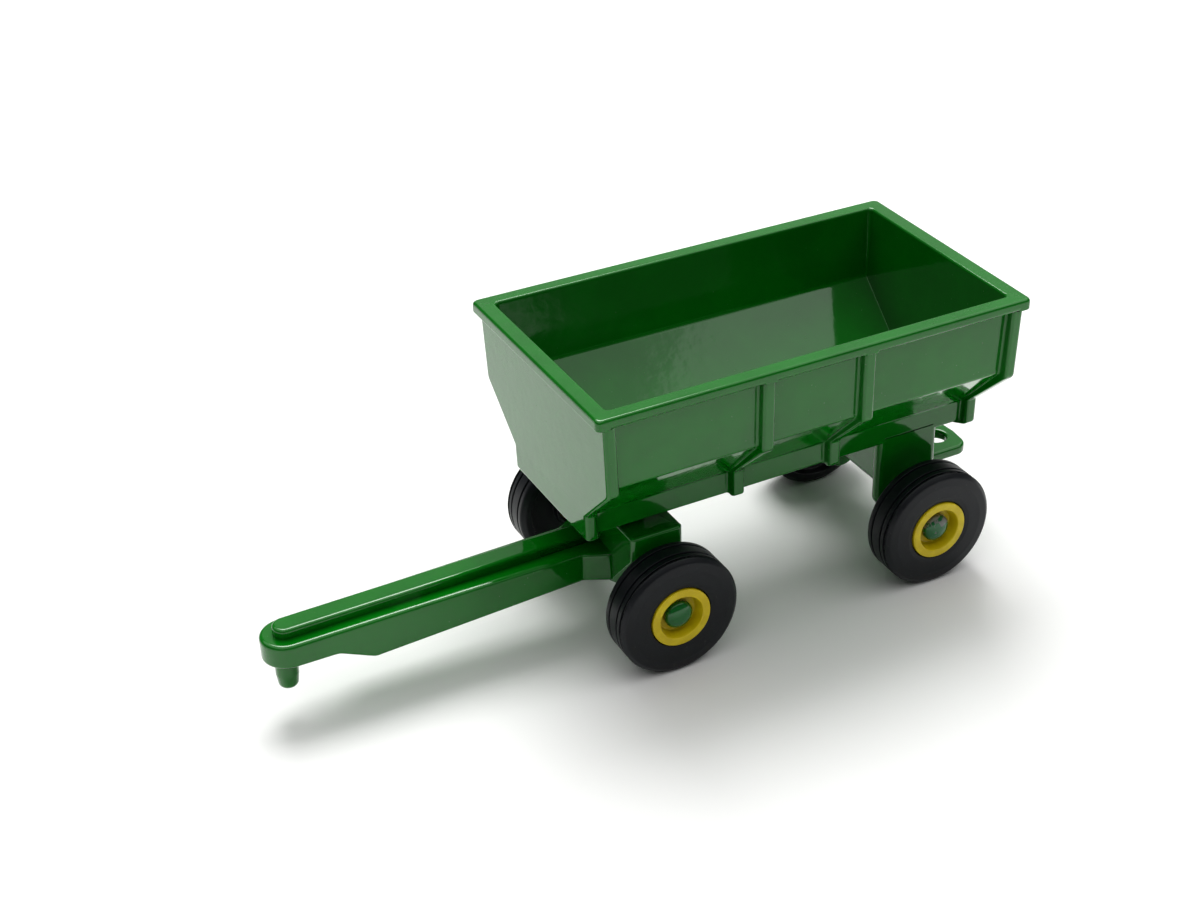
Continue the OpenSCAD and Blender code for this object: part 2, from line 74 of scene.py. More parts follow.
# The hopper's walls. The side falls plumb to a bend, slopes in to the skirt, and the ribs
# stand proud of the panels all the way down. Ribs are named from the front.
BODY_HALF_LENGTH = RIM_HALF_LENGTH - 1
BODY_CORNER = 0.55
END_DRAFT = 0.7
SIDE_DRAFT = 0.15
RIB_HALF_WIDTH = RIM_HALF_WIDTH - 0.3
RIB_DEPTH = 1.2
RIB_WIDTH = 1.7
RIB_LEAN = 0.08
RIB_FILLET = 0.3
RIB_EDGE = 0.4
END_RIB_FILLET = 0.4
END_RIB_EDGE = 0.6
FRONT_RIB = 7.8
REAR_RIB = -6.9
BEND_HEIGHT = 29.4
SLOPE_FOOT = 22.65
SKIRT_FOOT = 19.0
SKIRT_HALF_WIDTH = 10.45
PANEL_BEND_RISE = 0.35
PANEL_FOOT_DROP = 0.45

# The hollow under the hopper, and the hopper's inside down to its floor.
CAVITY_END_WALL = 2.6
CAVITY_SIDE_WALL = 1.1
CAVITY_CORNER = 0.4
CEILING = 21.2
FLOOR = 22.2
FLOOR_BORDER = 1.3
INNER_BEND = 30.3
INNER_END_DRAFT = 0.4
INNER_FOOT_HALF = 6.32
INNER_CORNER = 0.1

# The wheels. A groove's place is measured outwards from the tyre's middle.
AXLE_HEIGHT = tyre_high[2] / 2
FRONT_AXLE_X = (tyre_low[0] + tyre_high[0]) / 2
REAR_AXLE_X = float(np.mean([c[0] for c in box_mm("rear_left_tyre")]))
TYRE_RADIUS = (tyre_high[0] - tyre_low[0]) / 2
TYRE_WIDTH = tyre_high[1] - tyre_low[1]
TYRE_FACE = tyre_high[1]
GROOVES = (1.7, 0.75, -1.15)
GROOVE_DEPTH = 0.4
GROOVE_HALF_WIDTH = 0.16
GROOVE_HALF_FOOT = 0.08
BACK_RADIUS = 6.9
BACK_DEPTH = 1.2
BACK_WALL = 0.7
BACK_COLLAR = 0.5
RIM_RADIUS = (rim_high[0] - rim_low[0]) / 2
RIM_PROUD = 0.1
LIP_RADIUS = 3.06
RECESS_DEPTH = 1.55
RECESS_TAPER = 0.35
BORE_RADIUS = 1.51
BOSS_RADIUS = 2.6
BOSS_SETBACK = 1.3
FIT = 0.02

# The headed studs and the steering rivet.
STUD_RADIUS = 1.45
STUD_ROOT = 4.0
HEAD_RADIUS = 1.95
HEAD_RISE = 0.05
HEAD_EDGE_DEPTH = 0.85
RIVET_RADIUS = 1.6
RIVET_HEAD_RADIUS = 2.7
RIVET_HEAD_HEIGHT = 1.1
RIVET_GAP = 0.3

# The rear legs, their web and the hitch plate.
AXLE_BOSS_RADIUS = 2.45
AXLE_FOOT = AXLE_HEIGHT - AXLE_BOSS_RADIUS
LEG_FRONT = HOPPER_X - 14.9
LEG_REAR = HOPPER_X - 24.4
LEG_OUTER = SKIRT_HALF_WIDTH - RIB_DEPTH
LEG_THICKNESS = 1.5
LEG_INNER = LEG_OUTER - LEG_THICKNESS
LEG_PROUD = 0.015
LEG_SLANT_LENGTH = 2.4
LEG_SLANT_HEIGHT = 3.84
WEB_FOOT = 12.3
WEB_THICKNESS = 1.6
WEB_SETBACK = 0.3
HITCH_TOP = 10.75
HITCH_FOOT = HITCH_TOP - 1.5
HITCH_HOLE_X = HOPPER_X - 31.1
HITCH_HOLE_RADIUS = 1.6
HITCH_END_X = hopper_low[0]
HITCH_CROWN = 0.45
HITCH_EDGE = 0.4
HITCH_TAB_ROOT = 2.2
HITCH_HALF_WIDTH = 4.1
PIVOT_RADIUS = 3.6
PIVOT_GAP = 0.3

# The steering block, the tongue and the hitch pin of the front carriage.
BLOCK_TOP = carriage_high[2]
BLOCK_FOOT = 7.4
BLOCK_HALF_WIDTH = carriage_high[1]
BLOCK_HALF_LENGTH = FRONT_AXLE_X - carriage_low[0]
BLOCK_BEVEL = 0.5
BLOCK_EDGE = 0.4
SLANT_HEIGHT = 9.1
SLANT_FRONT = 6.0
SLANT_FRONT_RISE = 0.96
SLANT_END = 2.52
SLANT_END_RISE = 0.446
TONGUE_FOOT = 8.1
TONGUE_LOW = 6.45
NOSE_FOOT = 8.6
LEDGE_REAR = 12.45
LEDGE_TIP = 11.95
TONGUE_HALF_REAR = 3.8
TONGUE_HALF_MIDDLE = 3.47
TONGUE_HALF_TIP = 3.35
FLARE_HALF_WIDTH = 5.5
FLARE_LENGTH = 3.4
TONGUE_TIP_X = carriage_high[0]
NOSE_X = TONGUE_TIP_X - TONGUE_HALF_TIP
PIN_X = TONGUE_TIP_X - 2.85
PIN_FOOT = carriage_low[2]
PIN_RADIUS = 1.45
PIN_COLLAR = 0.3
SPINE_HALF_WIDTH = 1.6
SPINE_HEIGHT = 1.35
SPINE_SETBACK = 1.7
SPINE_ROOT = 1.2
STEP_REAR_X = HOPPER_X + 56.2
STEP_FRONT_X = HOPPER_X + 60.8

# How far a piece runs on into the casting that it is part of, and how long the short flat
# is that keeps a side straight beside an arc.
OVERLAP = 1.6
EASE = 0.1

# Where the camera stands, in degrees, and how it is set, in metres and millimetres of lens.
CAMERA_AZIMUTH = 151.266
CAMERA_ELEVATION = 31.413
CAMERA_ROLL = -0.656
CAMERA_DISTANCE = 0.2578
CAMERA_AIM = (HOPPER_X + 10.8, 0, 21.6)
CAMERA_LENS = 58.615
CAMERA_SHIFT = (-0.0662, -0.0022)


# ---------------------------------------------------------------- outlines and surfaces
def rounded(corners, radii, steps=6, closed=True, ease=EASE):
    """A path with its corners turned into arcs.

    Each arc touches the two sides that meet at its corner, at radius / tan(half the corner's
    angle) from it, and one more point a little way along each side keeps that side flat.
    """
    c = np.asarray(corners, float)
    count, size = c.shape[-2], c.shape[-1]
    r = np.broadcast_to(np.asarray(radii, float), c.shape[:-1])[..., None]
    before, after = np.roll(c, 1, -2) - c, np.roll(c, -1, -2) - c
    a = before / np.linalg.norm(before, axis=-1, keepdims=True)
    b = after / np.linalg.norm(after, axis=-1, keepdims=True)
    half = np.arccos(np.clip((a * b).sum(-1, keepdims=True), -0.99999, 0.99999)) / 2
    turn = math.pi - 2 * half
    reach = r / np.tan(half)
    middle = (a + b) / np.linalg.norm(a + b, axis=-1, keepdims=True) * r / np.sin(half)
    start, end = a * reach - middle, b * reach - middle
    t = np.linspace(0, 1, steps + 1)
    shape = (1,) * (c.ndim - 1) + (steps + 1, 1)
    t = t.reshape(shape)
    fan = np.sin((1 - t) * turn[..., None, :]) * start[..., None, :]
    fan = fan + np.sin(t * turn[..., None, :]) * end[..., None, :]
    arcs = fan / np.sin(turn[..., None, :]) + (c + middle)[..., None, :]
    lead = (c + a * (reach + ease))[..., None, :]
    tail = (c + b * (reach + ease))[..., None, :]
    points = np.concatenate([lead, arcs, tail], axis=-2)
    if closed:
        return points.reshape(*c.shape[:-2], count * (steps + 3), size)
    inner = points[..., 1:-1, :, :]
    inner = inner.reshape(*c.shape[:-2], (count - 2) * (steps + 3), size)
    return np.concatenate([c[..., :1, :], inner, c[..., -1:, :]], axis=-2)


def inset(outline, distance):
    """An outline moved in by a distance, each point along the mean normal of its two sides."""
    side = np.roll(outline, -1, 0) - outline
    side = side / np.linalg.norm(side, axis=1, keepdims=True)
    normal = np.stack([side[:, 1], -side[:, 0]], 1)
    last = np.roll(normal, 1, 0)
    mitre = (normal + last) / (1 + (normal * last).sum(1, keepdims=True))
    return outline - mitre * distance


def softer(a, b, blend):
    """The smaller of two values, with the corner between them rounded over a blend length."""
    h = np.clip(0.5 + 0.5 * (b - a) / blend, 0, 1)
    return b + (a - b) * h - blend * h * (1 - h)


def placed(rings, axis="z"):
    """Ring points given as (first, second, along) turned so that they run along an axis."""
    u, v, w = rings[..., 0], rings[..., 1], rings[..., 2]
    order = {"z": (u, v, w), "y": (u, w, v), "x": (w, u, v)}[axis]
    return np.stack(order, -1)


def solid(name, rings, caps="flat", around=False):
    """A closed skin over a grid of closed rings.

    The first and last rings are closed by one flat face each, or by strips that join the two
    mirror halves of the ring, or, when the grid goes all the way around, by each other.
    """
    levels, count = rings.shape[:2]
    index = np.arange(levels * count).reshape(levels, count)
    rows = np.arange(levels if around else levels - 1)
    low, high = index[rows], index[(rows + 1) % levels]
    quads = np.stack([low, np.roll(low, -1, 1), np.roll(high, -1, 1), high], -1)
    faces = quads.reshape(-1, 4).tolist()
    if caps == "flat" and not around:
        faces += [index[0, ::-1].tolist(), index[-1].tolist()]
    if caps == "strips" and not around:
        k = np.arange(count // 2 - 1)
        strip = np.stack([k, k + 1, count - 2 - k, count - 1 - k], -1)
        faces += index[0][strip].tolist() + index[-1][strip[:, ::-1]].tolist()
    mesh = bpy.data.meshes.new(name)
    mesh.from_pydata((rings.reshape(-1, 3) * MM).tolist(), [], faces)
    work = bmesh.new()
    work.from_mesh(mesh)
    bmesh.ops.remove_doubles(work, verts=work.verts, dist=1e-7)
    bmesh.ops.recalc_face_normals(work, faces=work.faces)
    work.to_mesh(mesh)
    work.free()
    mesh.polygons.foreach_set("use_smooth", [True] * len(mesh.polygons))
    piece = bpy.data.objects.new(name, mesh)
    bpy.context.collection.objects.link(piece)
    return piece


def slab(name, outline, low, high, edge, axis="z", caps="flat", steps=6):
    """A plate of a given outline with its edges rolled over.

    At an angle t round the edge the outline is moved in by edge * (1 - sin t), and its height
    above the face is edge * (1 - cos t). The edge may differ between the low and the high face.
    Low and high are heights, or functions of the points.
    """
    t = np.linspace(0, math.pi / 2, steps + 1)
    edges = edge if isinstance(edge, tuple) else (edge, edge)
    heights = [h if callable(h) else lambda p, h=h: np.full(len(p), h) for h in (low, high)]
    rings = []
    for radius, height, up in zip(edges, heights, (1, -1)):
        moved = np.concatenate([[radius + EASE], radius * (1 - np.sin(t)), [0]])
        raised = np.concatenate([[0], radius * (1 - np.cos(t)), [radius + EASE]])
        flat = [inset(outline, d) for d in moved]
        rings += [np.c_[p, height(p) + up * h] for p, h in zip(flat, raised)][::up]
    return solid(name, placed(np.array(rings), axis), caps)


def turned(name, profile, centre, axis="y", side=1, segments=128, around=True):
    """A profile of (radius, along) points carried round an axis through a centre point.

    A profile that starts and ends at radius nought is closed by its two poles.
    """
    profile = np.asarray(profile, float)
    angle = np.linspace(0, 2 * math.pi, segments, endpoint=False)
    first = profile[:, 0][:, None] * np.cos(angle)
    second = profile[:, 0][:, None] * np.sin(angle)
    along = np.repeat(profile[:, 1][:, None] * side, segments, 1)
    rings = placed(np.stack([first, second, along], -1), axis) + np.asarray(centre, float)
    return solid(name, rings, caps="none", around=around)


def joined(name, pieces):
    """Several closed shells of one casting as one piece."""
    work = bmesh.new()
    for piece in pieces:
        work.from_mesh(piece.data)
        bpy.data.objects.remove(piece)
    mesh = bpy.data.meshes.new(name)
    work.to_mesh(mesh)
    work.free()
    result = bpy.data.objects.new(name, mesh)
    bpy.context.collection.objects.link(result)
    return result


def finished(piece, body, slot, material, *nodes):
    """Gives a piece its material and its body, and hides the CAD nodes that it stands for. The
    slot is not used.
    """
    piece.data.materials.clear()
    piece.data.materials.append(material)
    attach(piece, body)
    if nodes:
        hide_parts(*nodes)
    return piece


# ---------------------------------------------------------------- shader maths
class Value:
    """A node socket that can be used in Python expressions."""

    def __init__(self, shader, socket):
        self.shader = shader
        self.socket = socket

    def math(self, operation, other, swap=False):
        a, b = (other, self) if swap else (self, other)
        return self.shader.add("ShaderNodeMath", {"operation": operation}, {0: a, 1: b})

    def __add__(self, other):
        return self.math("ADD", other)

    __radd__ = __add__

    def __mul__(self, other):
        return self.math("MULTIPLY", other)

    __rmul__ = __mul__

    def __sub__(self, other):
        return self.math("SUBTRACT", other)

    def __rsub__(self, other):
        return self.math("SUBTRACT", other, swap=True)

    def above(self, start, end):
        """0 below start, 1 above end, and a smooth step between them."""
        return self.shader.add(
            "ShaderNodeMapRange",
            {"interpolation_type": "SMOOTHSTEP"},
            {"Value": self, "From Min": start, "From Max": end},
        )


class Shader:
    """A procedural material on a Principled shader, built node by node."""

    def __init__(self, name, **constants):
        self.material = bpy.data.materials.new(name)
        self.material.use_nodes = True
        self.tree = self.material.node_tree
        self.principled = self.tree.nodes["Principled BSDF"]
        for key, value in constants.items():
            self.principled.inputs[key.replace("_", " ")].default_value = value
        self.place = self.add("ShaderNodeTexCoord", {}, {}, "Object")

    def add(self, kind, settings, inputs, output=0):
        """One node: its settings first, then a value or a link for each named socket."""
        node = self.tree.nodes.new(kind)
        for key, value in settings.items():
            setattr(node, key, value)
        for key, value in inputs.items():
            if isinstance(value, Value):
                self.tree.links.new(value.socket, node.inputs[key])
            else:
                node.inputs[key].default_value = value
        return Value(self, node.outputs[output])

    def feed(self, key, value):
        self.tree.links.new(value.socket, self.principled.inputs[key])

    def noise(self, per_mm, detail=2.0, roughness=0.5, place=None):
        """Cloudy noise with a given number of waves in a millimetre."""
        return self.add(
            "ShaderNodeTexNoise",
            {},
            {
                "Vector": place or self.place,
                "Scale": per_mm / MM,
                "Detail": detail,
                "Roughness": roughness,
            },
        )

    def mix(self, factor, a, b):
        """Colour a where the factor is 0 and colour b where it is 1."""
        return self.add(
            "ShaderNodeMix",
            {"data_type": "RGBA"},
            {"Factor": factor, 6: a, 7: b},
            2,
        )

    def bump(self, height, depth_mm):
        """A height from 0 to 1 as relief of a given depth."""
        normal = self.add(
            "ShaderNodeBump",
            {},
            {"Height": height, "Strength": 1.0, "Distance": depth_mm * MM},
        )
        self.feed("Normal", normal)


def green_enamel(name, base, worn=False):
    """Thick glossy enamel with a faint orange peel and dust, and bare metal where it is worn."""
    shader = Shader(name, Specular_IOR_Level=0.5, Coat_Roughness=0.03)
    dark = tuple(0.93 * c for c in base) + (1,)
    light = tuple(1.06 * c for c in base) + (1,)
    cloud = shader.noise(0.12, 3.0, 0.55)
    colour = shader.mix(cloud.above(0.35, 0.65), dark, light)
    specks = shader.noise(2.6, 1.0).above(0.76, 0.79)
    colour = shader.mix(specks * 0.3, colour, (0.12, 0.18, 0.10, 1))
    rough = 0.05 + 0.05 * shader.noise(0.3, 4.0, 0.6)
    coat = 0.36 - 0.3 * specks
    if worn:
        height = shader.add("ShaderNodeSeparateXYZ", {}, {"Vector": shader.place}, "Z")
        upper = height.above((AXLE_HEIGHT + 0.1) * MM, (AXLE_HEIGHT + 1.3) * MM)
        bare = (shader.noise(0.9, 3.0, 0.6) + 0.24 * upper).above(0.62, 0.68)
        colour = shader.mix(bare, colour, (0.16, 0.17, 0.155, 1))
        rough = rough + 0.25 * bare
        coat = coat - 0.3 * bare
    shader.feed("Base Color", colour)
    shader.feed("Roughness", rough + 0.2 * specks)
    shader.feed("Coat Weight", coat)
    shader.bump(shader.noise(0.6, 2.0, 0.45), 0.02)
    return shader.material


def yellow_plastic():
    """Moulded yellow plastic, faintly mottled."""
    shader = Shader("yellow_plastic", Specular_IOR_Level=0.5)
    cloud = shader.noise(0.5, 3.0)
    colour = shader.mix(cloud.above(0.35, 0.7), (0.62, 0.48, 0.006, 1), (0.70, 0.56, 0.012, 1))
    shader.feed("Base Color", colour)
    shader.feed("Roughness", 0.26 + 0.12 * shader.noise(1.2, 3.0))
    shader.bump(shader.noise(1.4, 2.0), 0.008)
    return shader.material


def black_tyre():
    """Soft black tyre plastic: satin, slightly blue, with moulding haze and a little dust."""
    shader = Shader("black_tyre_plastic", Specular_IOR_Level=0.42)
    cloud = shader.noise(0.25, 4.0, 0.6)
    deep, hazy = (0.0035, 0.0050, 0.0078, 1), (0.0065, 0.0088, 0.0125, 1)
    colour = shader.mix(cloud.above(0.3, 0.75), deep, hazy)
    dust = shader.noise(2.2, 2.0).above(0.68, 0.74)
    colour = shader.mix(dust * 0.35, colour, (0.07, 0.07, 0.07, 1))
    shader.feed("Base Color", colour)
    shader.feed("Roughness", 0.34 + 0.16 * cloud + 0.2 * dust)
    shader.bump(shader.noise(1.1, 3.0, 0.5), 0.014)
    return shader.material


def floor_paper():
    """A white sweep with the faintest mottling."""
    shader = Shader("white_sweep", Specular_IOR_Level=0.2, Roughness=0.6)
    cloud = shader.noise(0.02, 3.0)
    colour = shader.mix(cloud.above(0.3, 0.7), (0.90, 0.90, 0.89, 1), (0.92, 0.92, 0.91, 1))
    shader.feed("Base Color", colour)
    return shader.material


ENAMEL = green_enamel("green_enamel", (0.002, 0.158, 0.007))
STUD_PAINT = green_enamel("green_stud_paint", (0.003, 0.13, 0.02))
WORN_PAINT = green_enamel("worn_stud_paint", (0.004, 0.12, 0.03), worn=True)
YELLOW = yellow_plastic()
RUBBER = black_tyre()


# ---------------------------------------------------------------- the hopper casting
def side_path():
    """One long side in plan, from the front end to the rear end.

    Each point is (x from the hopper's middle, share of the way from rib to panel). The ribs
    stand up from the panels with rounded edges and a small fillet at their feet.
    """
    half, foot = RIB_WIDTH / 2, RIB_WIDTH / 2 + RIB_LEAN
    start = BODY_HALF_LENGTH - RIM_CORNER
    end = BODY_HALF_LENGTH - RIB_WIDTH
    corners = [(start, 0), (end, 0), (end - RIB_LEAN, RIB_DEPTH)]
    radii = [EASE, END_RIB_EDGE, END_RIB_FILLET]
    for x in (FRONT_RIB, REAR_RIB):
        corners += [(x + foot, RIB_DEPTH), (x + half, 0), (x - half, 0), (x - foot, RIB_DEPTH)]
        radii += [RIB_FILLET, RIB_EDGE, RIB_EDGE, RIB_FILLET]
    corners += [(RIB_LEAN - end, RIB_DEPTH), (-end, 0), (-start, 0)]
    radii += [RIB_FILLET, RIB_EDGE, EASE]
    path = rounded(corners, radii, steps=5, closed=False)
    return path[:, 0], path[:, 1] / RIB_DEPTH


def hopper_levels():
    """The hopper's section from under its floor, out over the skirt, slope, wall and rim, and
    down the inside to the floor: (half length, half width, height, corner radius) on the ribs,
    and the same on the panels. Corners are arcs."""
    long, wide = BODY_HALF_LENGTH, RIB_HALF_WIDTH
    bend = wide - SIDE_DRAFT
    inner_long, inner_wide = RIM_HALF_LENGTH - RIM_WIDTH, RIM_HALF_WIDTH - RIM_WIDTH
    inner_foot = inner_long - END_DRAFT
    cavity_long, cavity_wide = long - CAVITY_END_WALL, LEG_OUTER - CAVITY_SIDE_WALL
    outside = [
        (cavity_long - 1, cavity_wide - 1, CEILING, CAVITY_CORNER),
        (cavity_long, cavity_wide, CEILING, CAVITY_CORNER),
        (cavity_long, cavity_wide, SKIRT_FOOT - 0.1, CAVITY_CORNER),
        (long - END_DRAFT, SKIRT_HALF_WIDTH, SKIRT_FOOT - 0.15, BODY_CORNER),
        (long - 0.6, SKIRT_HALF_WIDTH, SLOPE_FOOT, BODY_CORNER),
        (long - END_DRAFT / 2, bend, BEND_HEIGHT, BODY_CORNER),
        (long, wide, RIM_FOOT, BODY_CORNER),
    ]
    rim = [
        (RIM_HALF_LENGTH, RIM_HALF_WIDTH, RIM_FOOT, RIM_CORNER),
        (RIM_HALF_LENGTH, RIM_HALF_WIDTH, RIM_TOP, RIM_CORNER),
        (inner_long, inner_wide + SIDE_DRAFT, RIM_TOP, RIM_CORNER),
        (inner_long - INNER_END_DRAFT, inner_wide, INNER_BEND, INNER_CORNER),
        (inner_foot, INNER_FOOT_HALF, FLOOR, INNER_CORNER),
        (inner_foot - FLOOR_BORDER, INNER_FOOT_HALF - FLOOR_BORDER, FLOOR, INNER_CORNER),
    ]
    ribs = np.array(outside + rim)
    panels = ribs.copy()
    panels[3:7, 1] -= RIB_DEPTH
    panels[3, 2] += 0.15
    panels[4, 2] -= PANEL_FOOT_DROP
    panels[5, 2] += PANEL_BEND_RISE
    # One radius for each corner of the section, in the same order.
    rib_radii = np.array([1, 0.3, 0.3, 0.5, 0.5, 1.1, 0.06, 0.2, 0.5, 0.42, 0.9, 0.9, 1])
    panel_radii = np.array([1, 0.3, 0.3, 0.35, 0.45, 0.8, 0.2, 0.55, 0.5, 0.42, 0.9, 0.9, 1])
    return (
        rounded(ribs, rib_radii, steps=7, closed=False),
        rounded(panels, panel_radii, steps=7, closed=False),
    )


def hopper_shell():
    """Rounded rectangles stacked along the hopper's section, ribbed on their long sides.

    A corner point is the corner's centre plus its radius at an angle. A point on a long side
    lies between the rib's section and the panel's, by its share.
    """
    ribs, panels = hopper_levels()
    x_side, share = side_path()
    quarter = np.linspace(0, math.pi / 2, 7)
    corner_sign = ((1, 1), (-1, 1), (-1, -1), (1, -1))
    sign_x, sign_y, turn, along, mix, on_side, slide = [], [], [], [], [], [], []
    for k, (sx, sy) in enumerate(corner_sign):
        angles = quarter + k * math.pi / 2
        lead = np.array([sy * -EASE if k % 2 == 0 else 0])
        ends = np.concatenate([lead, np.zeros(len(angles)), [sy * -EASE if k % 2 == 1 else 0]])
        angles = np.concatenate([angles[:1], angles, angles[-1:]])
        if k % 2 == 0:
            angles, ends = angles[:-1], ends[:-1]
        else:
            angles, ends = angles[1:], ends[1:]
        sign_x.append(np.full(len(angles), sx))
        sign_y.append(np.full(len(angles), sy))
        turn.append(angles)
        slide.append(ends)
        along.append(np.zeros(len(angles)))
        mix.append(np.zeros(len(angles)))
        on_side.append(np.zeros(len(angles)))
        if k % 2 == 0:
            way = 1 if k == 0 else -1
            sign_x.append(np.sign(x_side[::way]))
            sign_y.append(np.full(len(x_side), sy))
            turn.append(np.zeros(len(x_side)))
            slide.append(np.zeros(len(x_side)))
            along.append(x_side[::way])
            mix.append(share[::way])
            on_side.append(np.ones(len(x_side)))
    sign_x, sign_y, turn, along = map(np.concatenate, (sign_x, sign_y, turn, along))
    mix, on_side, slide = map(np.concatenate, (mix, on_side, slide))

    long, wide, height, radius = (ribs[:, i][:, None] for i in range(4))
    set_in = panels[:, 1][:, None]
    corner_x = sign_x * (long - radius) + radius * np.cos(turn)
    corner_y = sign_y * (wide - radius) + radius * np.sin(turn) + slide
    at_end = (np.abs(along) > RIM_HALF_LENGTH / 2) * sign_x
    side_x = along + at_end * (long - BODY_HALF_LENGTH)
    side_y = sign_y * (wide + (set_in - wide) * mix)
    x = np.where(on_side, side_x, corner_x) + HOPPER_X
    y = np.where(on_side, side_y, corner_y)
    z = height + (panels[:, 2][:, None] - height) * mix
    return solid("hopper_shell", np.stack(np.broadcast_arrays(x, y, z), -1))


def leg_plate(side):
    """One rear leg: its side outline carried through its thickness, with rolled edges."""
    corners = [
        (LEG_REAR, SKIRT_FOOT + OVERLAP),
        (LEG_REAR, AXLE_HEIGHT),
        (REAR_AXLE_X - AXLE_BOSS_RADIUS, AXLE_FOOT),
        (LEG_FRONT - LEG_SLANT_LENGTH, AXLE_FOOT),
        (LEG_FRONT, AXLE_FOOT + LEG_SLANT_HEIGHT),
        (LEG_FRONT, SKIRT_FOOT + OVERLAP),
    ]
    outline = rounded(corners, [0.8, 1.4, 1.6, 1.4, 1.6, 0.8])
    low, high = sorted((side * LEG_INNER, side * (LEG_OUTER + LEG_PROUD)))
    return slab("leg", outline, low, high, (0.3, 0.9)[::side], "y")


def axle_boss(x, side, root):
    """A round boss along the axle with a rolled outer edge."""
    r, tip = AXLE_BOSS_RADIUS, BLOCK_HALF_WIDTH
    path = rounded([(0, root), (r, root), (r, tip), (0, tip)], [0, 0.3, 0.35, 0], closed=False)
    return turned("boss", path, (x, 0, AXLE_HEIGHT), side=side, segments=64, around=False)


def web_plate():
    """The web between the legs: a rectangle carried through its thickness."""
    high = SKIRT_FOOT + 1.2
    wide = LEG_INNER + 0.5
    corners = [(-wide, WEB_FOOT), (wide, WEB_FOOT), (wide, high), (-wide, high)]
    front = LEG_FRONT - WEB_SETBACK
    return slab("web", rounded(corners, 0.55), front - WEB_THICKNESS, front, 0.5, "x")


def hitch_flare():
    """The part of the hitch plate that widens into the legs."""
    w = HITCH_HALF_WIDTH
    leg = (LEG_INNER + LEG_OUTER) / 2
    left = [
        (REAR_AXLE_X, leg),
        (LEG_REAR - 0.2, leg),
        (LEG_REAR - 2.4, w + 0.1),
        (LEG_REAR - 3.9, w - 0.1),
    ]
    corners = left + [(x, -y) for x, y in left[::-1]]
    radii = [0.6, 0.9, 1.2, 0.6, 0.6, 1.2, 0.9, 0.6]
    return slab("flare", rounded(corners, radii), HITCH_FOOT, HITCH_TOP - 0.01, 0.4)


def hitch_tab():
    """The rear of the hitch plate with its hole, as one skin that goes round the plate.

    Every ray out of the hole's middle gives one section: out along the foot, over the rolled
    outer edge, back along the top, and down the rolled wall of the hole.
    """
    w = HITCH_HALF_WIDTH
    end, crown = HITCH_END_X, HITCH_END_X + HITCH_CROWN
    root = LEG_REAR - HITCH_TAB_ROOT
    corners = [(root, w), (crown, w), (end, 0), (crown, -w), (root, -w)]
    plan = rounded(corners, [0.6, 1.9, 3.0, 1.9, 0.6], steps=12)
    angle = np.linspace(0, 2 * math.pi, 160, endpoint=False)
    centre = np.array([HITCH_HOLE_X, 0])
    ray = np.stack([np.cos(angle), np.sin(angle)], 1)
    a, b = plan - centre, np.roll(plan, -1, 0) - centre
    side = b - a
    cross = ray[:, None, 0] * side[None, :, 1] - ray[:, None, 1] * side[None, :, 0]
    cross = np.where(np.abs(cross) < 1e-12, 1e-12, cross)
    reach = (a[:, 0] * side[:, 1] - a[:, 1] * side[:, 0])[None] / cross
    share = (a[None, :, 0] * ray[:, None, 1] - a[None, :, 1] * ray[:, None, 0]) / cross
    hit = (reach > 0) & (share >= -1e-9) & (share <= 1 + 1e-9)
    radius = np.where(hit, reach, np.inf).min(1)
    edge = HITCH_EDGE
    t = np.linspace(0, math.pi / 2, 7)
    roll_in, roll_up = edge * (1 - np.sin(t)), edge * (1 - np.cos(t))
    foot, top = HITCH_FOOT, HITCH_TOP
    sections = [(1, -(edge + EASE), foot)]
    sections += [(1, -d, foot + h) for d, h in zip(roll_in, roll_up)]
    sections += [(1, -d, top - h) for d, h in zip(roll_in[::-1], roll_up[::-1])]
    sections += [(1, -(edge + EASE), top), (0, edge + EASE, top)]
    sections += [(0, d, top - h) for d, h in zip(roll_in, roll_up)]
    sections += [(0, d, foot + h) for d, h in zip(roll_in[::-1], roll_up[::-1])]
    sections += [(0, edge + EASE, foot)]
    outer, shift, height = np.array(sections).T[..., None]
    r = outer * radius + (1 - outer) * HITCH_HOLE_RADIUS + shift
    x, y = centre[0] + r * ray[:, 0], centre[1] + r * ray[:, 1]
    rings = np.stack([x, y, np.broadcast_to(height, x.shape)], -1)
    return solid("tab", rings, around=True)


def pivot_boss():
    """The round boss under the hopper that the carriage turns against."""
    r, low, high = PIVOT_RADIUS, BLOCK_TOP + PIVOT_GAP, CEILING + 0.4
    path = rounded([(0, low), (r, low), (r, high), (0, high)], [0, 0.3, 0.3, 0], closed=False)
    return turned("pivot", path, (FRONT_AXLE_X, 0, 0), "z", segments=64, around=False)


# ---------------------------------------------------------------- the front carriage
def tongue_foot(p):
    """Height of the tongue's lower edge: sloping down, then up to the thin front end."""
    corners = [
        (FRONT_AXLE_X - 9, TONGUE_FOOT),
        (FRONT_AXLE_X + BLOCK_HALF_LENGTH + FLARE_LENGTH, TONGUE_FOOT),
        (STEP_REAR_X, TONGUE_LOW),
        (STEP_FRONT_X, NOSE_FOOT),
        (TONGUE_TIP_X + 9, NOSE_FOOT),
    ]
    path = rounded(corners, [1, 3, 1.6, 2.2, 1], closed=False)
    return np.interp(p[:, 0], path[:, 0], path[:, 1])


def ledge(p, lift=0.0):
    """Height of the tongue's ledge: a straight line from the axle to the nose, plus a lift."""
    return lift + np.interp(p[:, 0], [FRONT_AXLE_X, NOSE_X], [LEDGE_REAR, LEDGE_TIP])


